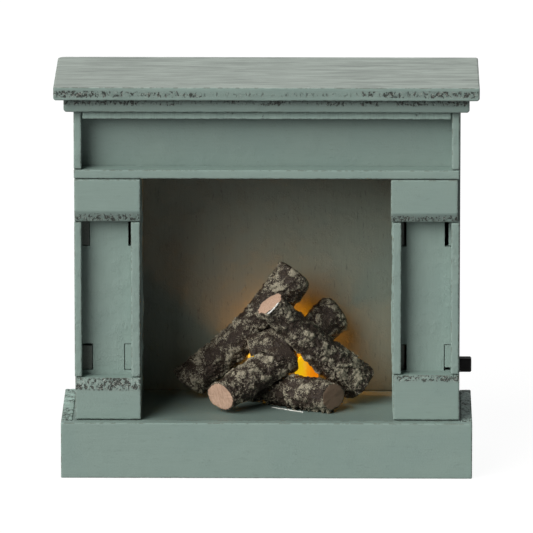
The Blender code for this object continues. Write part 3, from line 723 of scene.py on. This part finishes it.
def moulded_block(node, material, seed):
    """A cap or foot block, with its chamfer and the coarse wood on it."""
    low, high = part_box(node)
    mesh = NODES[node].data
    heights = np.array([v.co.z for v in mesh.vertices])
    depths = np.array([v.co.y for v in mesh.vertices])
    front_heights = heights[depths < low.y + 0.5 * MM]
    if front_heights.max() < high.z - 1.5 * MM:
        corner = front_heights.max() + 0.15 * MM
        end = high.z
    else:
        corner = front_heights.min() - 0.15 * MM
        end = low.z
    strip = NODES[node.split("_")[0] + "_column_outer_strip"]
    set_back = min(v.co.y for v in strip.data.vertices) - low.y
    depth = high.y - low.y

    def chamfer(points):
        """Lean the front back between the face's end and the block's end."""
        share = np.clip((points[:, 2] - corner) / (end - corner), 0.0, 1.0)
        weight = (high.y - points[:, 1]) / depth
        moved = points.copy()
        moved[:, 1] += set_back * share * weight
        return moved

    def block_rough(points, normal):
        """Coarse end grain on the chamfer."""
        share = (points[:, 2] - corner) / (end - corner)
        if end > corner:
            band = np.clip((share + 0.25) / 0.30, 0.0, 1.0) * (share < 1.05)
        else:
            band = 0.90 * np.clip(1.0 - np.abs(share - 0.62) / 0.44, 0.0, 1.0) ** 0.6 * (share > 0.05)
        across = fractal(points, 7.0 * MM, 2, seed + 3)
        return band * np.clip(-normal[:, 1], 0.0, 1.0) * (0.68 + 0.32 * (across > 0.5))

    lines = tuple(corner + (end - corner) * i / 8 for i in range(-1, 8))
    piece = worn_board(node + "_worn", low, high, material, steps=(0.6, 1.2, 1.0), seed=seed,
                       extra=((), (), lines), reshape=chamfer, roughness=block_rough)
    attach(piece, ROOT, "painted_wood", node)


def build_columns(upright, flat):
    """Blocks and strips of both columns."""
    blocks = ("left_cap_block", "right_cap_block", "left_foot_block", "right_foot_block")
    for number, node in enumerate(blocks):
        moulded_block(node, flat, 60 + number)
    for number, side in enumerate(("left", "right")):
        for place in ("outer", "inner"):
            node_board(side + "_column_" + place + "_strip", upright, steps=(0.8, 1.2, 0.6),
                       seed=70 + 2 * number + (place == "inner"))


def build_base(flat, side_material, hearth_material, under_material):
    """Base boards and the hearth."""
    node_board("base_front_board", flat, steps=(0.7, 1.0, 1.2), seed=81)

    def ledge_rough(points, normal):
        """Coarse worn wood on the ledges beside the feet, more so on the right."""
        worn = np.where(points[:, 0] > 0.0, 0.45, 0.22)
        patchy = 0.4 * (fractal(points, 3.0 * MM, 2, 91) > 0.52)
        return np.clip(normal[:, 2] * 1.6, 0.0, 1.0) * (worn + patchy)

    for node, seed in (("base_left_board", 82), ("base_right_board", 83)):
        node_board(node, side_material, steps=(0.5, 0.7, 1.2), seed=seed, roughness=ledge_rough)
    node_board("hearth_board", hearth_material, spread=(GLUE_LINE, 0.0, 0.0), steps=(1.2, 1.2, 1.0),
               seed=84, radius=0.14 * MM)
    node_board("base_bottom_board", under_material, "bare_wood", (GLUE_LINE, GLUE_LINE, 0.0),
               steps=(2.0, 2.0, 1.0), seed=85)


def build_paint_ridges(material):
    """Thick paint and splinters gathered along the firebox's front edges, thinner on the right."""
    for side, inward, radius in (("left", 1, 0.85 * MM), ("right", -1, 0.34 * MM)):
        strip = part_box(side + "_column_inner_strip")
        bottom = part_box(side + "_foot_block")[0].z + 0.5 * MM
        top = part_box(side + "_cap_block")[1].z - 0.5 * MM
        face = strip[1].x if inward > 0 else strip[0].x
        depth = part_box(side + "_column_panel")[0].y + 0.4 * MM
        heights = np.linspace(bottom, top, 12)
        sway = (value_noise(np.outer(heights, (0.0, 0.0, 1.0)), 9.0 * MM, 19) - 0.6) * 0.5 * MM
        path = [(face + inward * sway[i], depth, height) for i, height in enumerate(heights)]
        build_bead("paint_ridge_" + side, path, radius, 27, material, "painted_wood")


def paint_remaining(materials):
    """Give every CAD node that still shows its own procedural material."""
    for name, node in NODES.items():
        slot_name = next(s["material_slot"] for s in frame["record"]["subparts"] if s["node"] == name)
        material = materials.get(name) or materials[slot_name]
        node.data.materials.clear()
        node.data.materials.append(material)


# ---------------------------------------------------------------- logs

def unit(vector):
    """A vector of length one."""
    return vector / np.linalg.norm(vector)


STILL = (0.0, 0.0, 0.0)


def log_ends(node, radii, runs):
    """The centres of a log's two ends, from its box and its end radii.

    runs says for X, Y and Z whether the log runs up (1) or down (-1) from its first end.
    """
    low, high = (np.array(corner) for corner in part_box(node))
    runs = np.array(runs)
    first = np.where(runs > 0, low, high)
    last = np.where(runs > 0, high, low)
    start, end = first, last
    for _ in range(12):
        spread = np.sqrt(1.0 - unit(end - start) ** 2)
        start = first + runs * radii[0] * MM * spread
        end = last - runs * radii[-1] * MM * spread
    return start, end


class Log:
    """Where a log lies, and how thick it is along its length.

    radii are its radii at even stations, bend is how far its middle is off the straight line and
    shifts move its two ends, all in millimetres.
    """

    def __init__(self, node, radii, runs, bend=STILL, shifts=(STILL, STILL)):
        self.node = node
        self.bend = np.array(bend) * MM
        self.start, self.end = (place + np.array(shift) * MM
                                for place, shift in zip(log_ends(node, radii, runs), shifts))
        self.axis = unit(self.end - self.start)
        self.length = np.linalg.norm(self.end - self.start)
        self.radii = np.array(radii) * MM

    def radius(self, along):
        """The mean radius at distances along the log."""
        stations = np.linspace(0.0, self.length, len(self.radii))
        return np.interp(along, stations, self.radii)

    def sag(self, along):
        """How far the bent log's middle line is from straight."""
        share = np.clip(np.asarray(along) / self.length, 0.0, 1.0)
        return np.multiply.outer(4.0 * share * (1.0 - share), self.bend)

    def push_out(self, points, gap):
        """Move points that are just inside this log out through its surface."""
        offset = points - self.start
        along = offset @ self.axis
        offset = offset - self.sag(along)
        across = offset - np.outer(along, self.axis)
        distance = np.linalg.norm(across, axis=1)
        wanted = self.radius(along) + gap
        inside = (along > -gap) & (along < self.length + gap) & (distance < wanted)
        inside &= distance > 0.35 * wanted
        shift = across / np.maximum(distance, 1e-9)[:, None] * (wanted - distance)[:, None]
        return np.where(inside[:, None], points + shift, points)


def build_log(log, cut_start, cut_end, seed, material, neighbours=(), flare=(1.0, 1.0),
              rounding=(0.5, 0.5), sawn=(1.0, 1.0)):
    """One log: craggy bark in relief between two sawn faces, whose outward normals are given.

    flare widens the two ends, rounding is how far their edges are rounded in millimetres, and
    neighbours are the logs that leave a dent in this one.  sawn is 1 for a fresh sawn end, 0.8 for one
    painted dark brown as painted shade on a sawn face turned from the light, and 0 for one that is
    painted like the bark.
    """
    axis = log.axis
    side = unit(np.cross(axis, (0.0, 0.0, 1.0)))
    up = np.cross(axis, side)
    around = 150
    rings = max(24, round(log.length / (0.30 * MM)))
    angle = np.linspace(0.0, 2 * math.pi, around, endpoint=False)
    direction = np.outer(np.cos(angle), side) + np.outer(np.sin(angle), up)
    cuts = [unit(np.array(cut)) for cut in (cut_start, cut_end)]

    def sawn_place(cut, radius):
        """How far along the axis the sawn plane lies at each angle, from the end's centre."""
        return -(direction @ cut) * radius / (cut @ axis)

    rows = []
    reliefs = []
    for i in range(rings + 1):
        t = i / rings
        radius = float(log.radius(t * log.length))
        radius *= 1.0 + (flare[0] - 1.0) * max(0.0, 1 - t / 0.16) ** 2
        radius *= 1.0 + (flare[1] - 1.0) * max(0.0, 1 - (1 - t) / 0.16) ** 2
        for share, size in ((t, rounding[0] * MM), (1 - t, rounding[1] * MM)):
            inward = max(0.0, 1.0 - share * log.length / size)
            radius -= size * (1.0 - math.sqrt(1.0 - inward ** 2)) * 0.75
        along = (1 - t) * sawn_place(cuts[0], radius) + t * (log.length + sawn_place(cuts[1], radius))
        centre = log.start + np.outer(along, axis) + log.sag(along)
        spot = centre + direction * radius
        lump = fractal(spot, 8.0 * MM, 2, seed) - 0.5
        plates = fractal(spot, 3.0 * MM, 3, seed + 3)
        fine = fractal(spot, 0.9 * MM, 2, seed + 21)
        crack = 1.0 - np.clip(np.abs(fractal(spot, 4.6 * MM, 2, seed + 8) - 0.5) * 11.0, 0.0, 1.0)
        relief = np.clip((plates - 0.30) * 2.2, 0.0, 1.0) * (1.0 - 0.8 * crack)
        rim = min(1.0, min(i, rings - i) / 3.0)
        height = 1.10 * lump + (0.90 * (relief - 0.58) + 1.15 * (fine - 0.5)) * (0.80 + 0.20 * rim)
        height = (height - 0.20 * (1 - rim) - 0.05) * MM
        rows.append(centre + direction * (radius + height)[:, None])
        reliefs.append(np.clip(0.62 * relief + 0.45 * fine, 0.0, 1.0))

    def cap(ring, cut, centre):
        """Rings that close one end, nearly flat and lightly torn."""
        result = []
        for share in (0.95, 0.82, 0.62, 0.42, 0.2):
            flat = centre + (ring - centre) * share
            torn = (fractal(flat, 2.6 * MM, 3, seed + 13) - 0.5) * 0.55 * MM
            lift = 0.08 * MM if share > 0.9 else 0.16 * MM
            result.append(flat + np.outer(torn * (1.0 - share ** 6) + lift, cut))
        return result, centre + cut * 0.16 * MM

    first_caps, first_centre = cap(rows[0], cuts[0], log.start)
    last_caps, last_centre = cap(rows[-1], cuts[1], log.end)
    all_rows = first_caps[::-1] + rows + last_caps
    flat_rows = len(first_caps)
    points = np.concatenate([first_centre[None]] + all_rows + [last_centre[None]])
    for neighbour in neighbours:
        points = neighbour.push_out(points, 0.3 * MM)
    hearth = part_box("hearth_board")[1].z
    low_points = points[:, 2] < hearth + 1.0 * MM
    points[low_points, 2] = hearth + 0.05 * MM
    ends = np.ones(flat_rows * around + 1)
    numbers = {"relief": np.concatenate([ends * 0.5] + reliefs + [ends * 0.5]),
               "cut": np.concatenate([ends * sawn[0], np.zeros(len(rows) * around), ends * sawn[1]])}
    piece = make_piece(log.node + "_bark", points, tube_faces(len(all_rows), around), material, numbers)
    attach(piece, ROOT, "log_resin", log.node)


def build_bead(name, path, radius, seed, material, slot_name):
    """A lumpy bead along a path, closed and rounded at both ends."""
    path = np.array(path)
    count = max(36, round(np.linalg.norm(path[-1] - path[0]) / (1.1 * radius)))
    sides = 20
    share = np.linspace(0.0, 1.0, count)
    stations = np.linspace(0.0, 1.0, len(path))
    centres = np.stack([np.interp(share, stations, path[:, k]) for k in range(3)], axis=1)
    forward = np.gradient(centres, axis=0)
    forward /= np.linalg.norm(forward, axis=1, keepdims=True)
    side = np.cross(forward, (0.2, 1.0, 0.1))
    side /= np.linalg.norm(side, axis=1, keepdims=True)
    up = np.cross(side, forward)
    size = radius * np.sqrt(np.clip(1.0 - (2.0 * share - 1.0) ** 4, 0.02, 1.0))
    size *= 0.55 + 0.9 * value_noise(centres, 2.2 * radius, seed)
    angle = np.linspace(0.0, 2.0 * math.pi, sides, endpoint=False)
    rings = [centres[i] + size[i] * (np.outer(np.cos(angle), side[i]) + np.outer(np.sin(angle), up[i]))
             for i in range(count)]
    points = np.concatenate([path[:1]] + rings + [path[-1:]])
    attach(make_piece(name, points, tube_faces(count, sides), material), ROOT, slot_name)


def build_beads(front_left, front_right, top_right, glue, amber):
    """Glue that has run out at the logs' joints, and a glowing sliver between two logs that paints the
    lamp's light showing through the gap.
    """
    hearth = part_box("hearth_board")[1].z
    foot_side = unit(np.cross(front_right.axis, (0.0, 0.0, 1.0)))
    foot = []
    for share in (0.34, 0.48, 0.62, 0.74):
        place = front_right.start + front_right.axis * front_right.length * share
        place = place + foot_side * front_right.radius(share * front_right.length) * 0.80
        foot.append((place[0], place[1], hearth + 0.15 * MM))
    build_bead("glue_under_front_log", foot, 0.20 * MM, 7, glue, "log_resin")

    side = unit(np.cross(top_right.axis, (0.0, 1.0, 0.0)))
    down = np.cross(top_right.axis, side)
    rim = []
    for degrees in (-30, -8, 14, 36):
        turn = math.radians(degrees)
        way = side * math.sin(turn) + down * math.cos(turn)
        rim.append(top_right.start + way * 5.6 * MM - top_right.axis * 0.1 * MM)
    build_bead("glue_on_sawn_end", rim, 0.34 * MM, 8, glue, "log_resin")

    # A glowing sliver in the gap between two logs: painted lamp light seen through the gap.
    view = np.array((0.0, 0.975, -0.22))
    crest = unit(np.cross(front_left.axis, view))
    crest *= math.copysign(1.0, crest[2])
    seam = []
    for share in (0.56, 0.61, 0.66):
        place = front_left.start + front_left.axis * front_left.length * share
        seam.append(place + crest * (front_left.radius(share * front_left.length) + 0.55 * MM)
                    + view * 1.6 * MM)
    build_bead("lamp_glow_between_logs", seam, 0.85 * MM, 9, amber, "amber_plastic")


def build_logs(material):
    """The six logs, with the way each sawn end faces; returns the three that carry beads."""
    front_left = Log("log_front_left", (5.6, 6.1, 6.2), (1, 1, 1), shifts=(STILL, (1.5, 0.2, -0.9)))
    front_right = Log("log_front_right", (4.8, 5.2, 5.9, 6.0, 5.5), (1, -1, 1), bend=(0.0, 0.0, 0.3))
    top_right = Log("log_top_right", (5.0, 5.5, 6.1, 6.8, 7.2), (1, 1, -1), bend=(-0.5, 0.0, -0.6))
    back_left = Log("log_back_left", (6.9, 6.3, 6.2, 7.4), (1, -1, 1), bend=(1.5, 0.0, -1.4),
                    shifts=(STILL, (1.7, 0.0, 0.2)))
    back_right = Log("log_back_right", (6.7, 7.0, 6.9), (1, 1, 1),
                     shifts=((0.0, -2.8, 0.6), (0.0, 0.9, -0.2)))
    middle = Log("log_middle", (8.0, 8.3, 7.6), (1, 1, 1), shifts=((0.9, 0.0, 0.0), (-0.4, 0.0, 1.1)))
    build_log(front_left, (-0.60, -0.74, -0.30), (0.96, 0.25, 0.10), 205, material, flare=(1.10, 1.0),
              rounding=(0.5, 2.4), sawn=(1.0, 0.0))
    # This log's sawn ends take the dark brown of painted shade.
    build_log(front_right, (-0.83, 0.56, 0.0), (0.66, -0.75, 0.03), 309, material, (front_left,),
              sawn=(0.8, 0.8))
    build_log(top_right, (-0.56, -0.24, 0.79), (0.74, 0.20, -0.64), 101, material, flare=(1.20, 1.0),
              rounding=(0.5, 2.0), sawn=(1.0, 0.0))
    build_log(back_left, (-0.60, 0.05, -0.80), (0.62, 0.22, 0.75), 3, material, (front_left, top_right),
              rounding=(1.0, 2.6), sawn=(0.0, 0.0))
    build_log(back_right, (-0.73, 0.0, -0.69), (0.80, 0.16, 0.58), 407, material, (top_right, back_left),
              rounding=(0.5, 4.0), sawn=(0.0, 0.0))
    build_log(middle, -middle.axis, middle.axis, 511, material,
              (front_left, front_right, top_right, back_left), rounding=(0.5, 3.0))
    return front_left, front_right, top_right


# ---------------------------------------------------------------- put together

def light_scene():
    """Camera, studio light, floor, and the lamp's light round the amber cap."""
    bpy.context.scene.view_settings.view_transform = "Standard"
    add_camera()
    add_world()
    add_sun("key_light", 4.3, 50.0, -44.0, 31.5, (1.0, 0.99, 0.97))
    add_floor()
    low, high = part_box("glow_cap")
    middle = (low + high) / 2
    behind = Vector((low.x - 5.5 * MM, high.y + 7.6 * MM, high.z + 0.8 * MM))
    above = Vector((middle.x + 1.3 * MM, middle.y + 1.2 * MM, high.z + 4.6 * MM))
    beside = Vector((high.x + 2.0 * MM, middle.y - 0.9 * MM, high.z - 3.2 * MM))
    add_lamp_light("lamp_light_behind", behind, 0.054, (0.20, 0.97, 0.23))
    add_lamp_light("lamp_light_above", above, 0.003)
    add_lamp_light("lamp_light_beside", beside, 0.0026)
    NODES["glow_cap"].visible_shadow = False
    NODES["lamp"].visible_shadow = False


def main():
    light_scene()
    flat = paint_material("paint_level_grain", "X")
    upright = paint_material("paint_upright_grain", "Z", pits=1.3, bumps=2.3)
    # The base sides' ledges take a lighter top tone: painted light from above, and dust.
    deep = paint_material("paint_side_grain", "Y", dusty_lit_top_tone=scaled(PAINT, 1.40))
    # The shelf's top is lighter and greyer: dust, and painted light from above.
    shelf_paint = paint_material("paint_shelf", "X", scaled(PAINT, 0.94), 0.6, 0.6, PAINT_SHELF_LIT_TOP)
    # The cornice's paint is darker than the front paint: painted shade under the shelf.
    shaded_cornice_paint = paint_material("paint_cornice_shaded", "X", scaled(PAINT, 0.83))
    # The frieze panel's paint is darker than the front paint: painted shade under the shelf.
    shaded_panel_paint = paint_material("paint_frieze_panel_shaded", "X", scaled(PAINT, 0.86), 1.5, bumps=1.4)
    # The firebox's paint is darker and warmer: painted shade, with the lamp's warm light painted in.
    firebox_shaded_paint = paint_material("paint_firebox_shaded", "Z", PAINT_FIREBOX_SHADED, 3.6, 0.30, bumps=2.3)
    behind = paint_material("paint_behind_panels", "Z", tab_line=-11.5)
    # The hearth's paint is darker than the front paint: painted shade inside the firebox.
    shaded_hearth_paint = paint_material("paint_hearth_shaded", "X", scaled(PAINT, 0.72))
    # The top rail's paint is much lighter than the front paint: painted light where the cornice shades
    # it.
    lit_rail_paint = paint_material("paint_coarse_rail_lit", "Z", scaled(PAINT, 1.62), 1.0, 0.8)
    glow = glow_material()
    black = plastic_material("black_plastic", (0.0040, 0.0035, 0.0036), 0.55, specular=0.18)
    materials = {
        "painted_wood": upright, "shaded_paint": firebox_shaded_paint, "bare_wood": bare_wood_material(),
        "log_resin": bark_material(), "amber_plastic": glow, "lamp_lens": lens_material(),
        "black_plastic": black, "circuit_board": board_material("circuit_board", (0.20, 0.10, 0.035)),
        "plated_steel": metal_material("plated_steel", (0.58, 0.57, 0.54)),
        "cell_jacket": metal_material("cell_sleeve", (0.11, 0.12, 0.13), 0.35),
        "red_wire": plastic_material("red_insulation", (0.40, 0.018, 0.013), 0.38),
        "black_wire": plastic_material("black_insulation", (0.014, 0.014, 0.015), 0.38),
        "left_firebox_cheek": upright, "right_firebox_cheek": behind,
        "left_side_board": behind, "right_side_board": upright,
    }
    build_shelf(shelf_paint, shaded_cornice_paint)
    build_frieze(flat, upright, lit_rail_paint, shaded_panel_paint)
    build_columns(upright, flat)
    build_base(flat, deep, shaded_hearth_paint, materials["bare_wood"])
    # The back board takes the firebox paint with its painted shade.
    node_board("back_board", firebox_shaded_paint, "shaded_paint", (GLUE_LINE, 0.0, GLUE_LINE),
               steps=(2.0, 1.0, 2.0), seed=86)
    build_paint_ridges(upright)
    paint_remaining(materials)
    beaded = build_logs(materials["log_resin"])
    build_beads(*beaded, glue_material(), glow)


main()
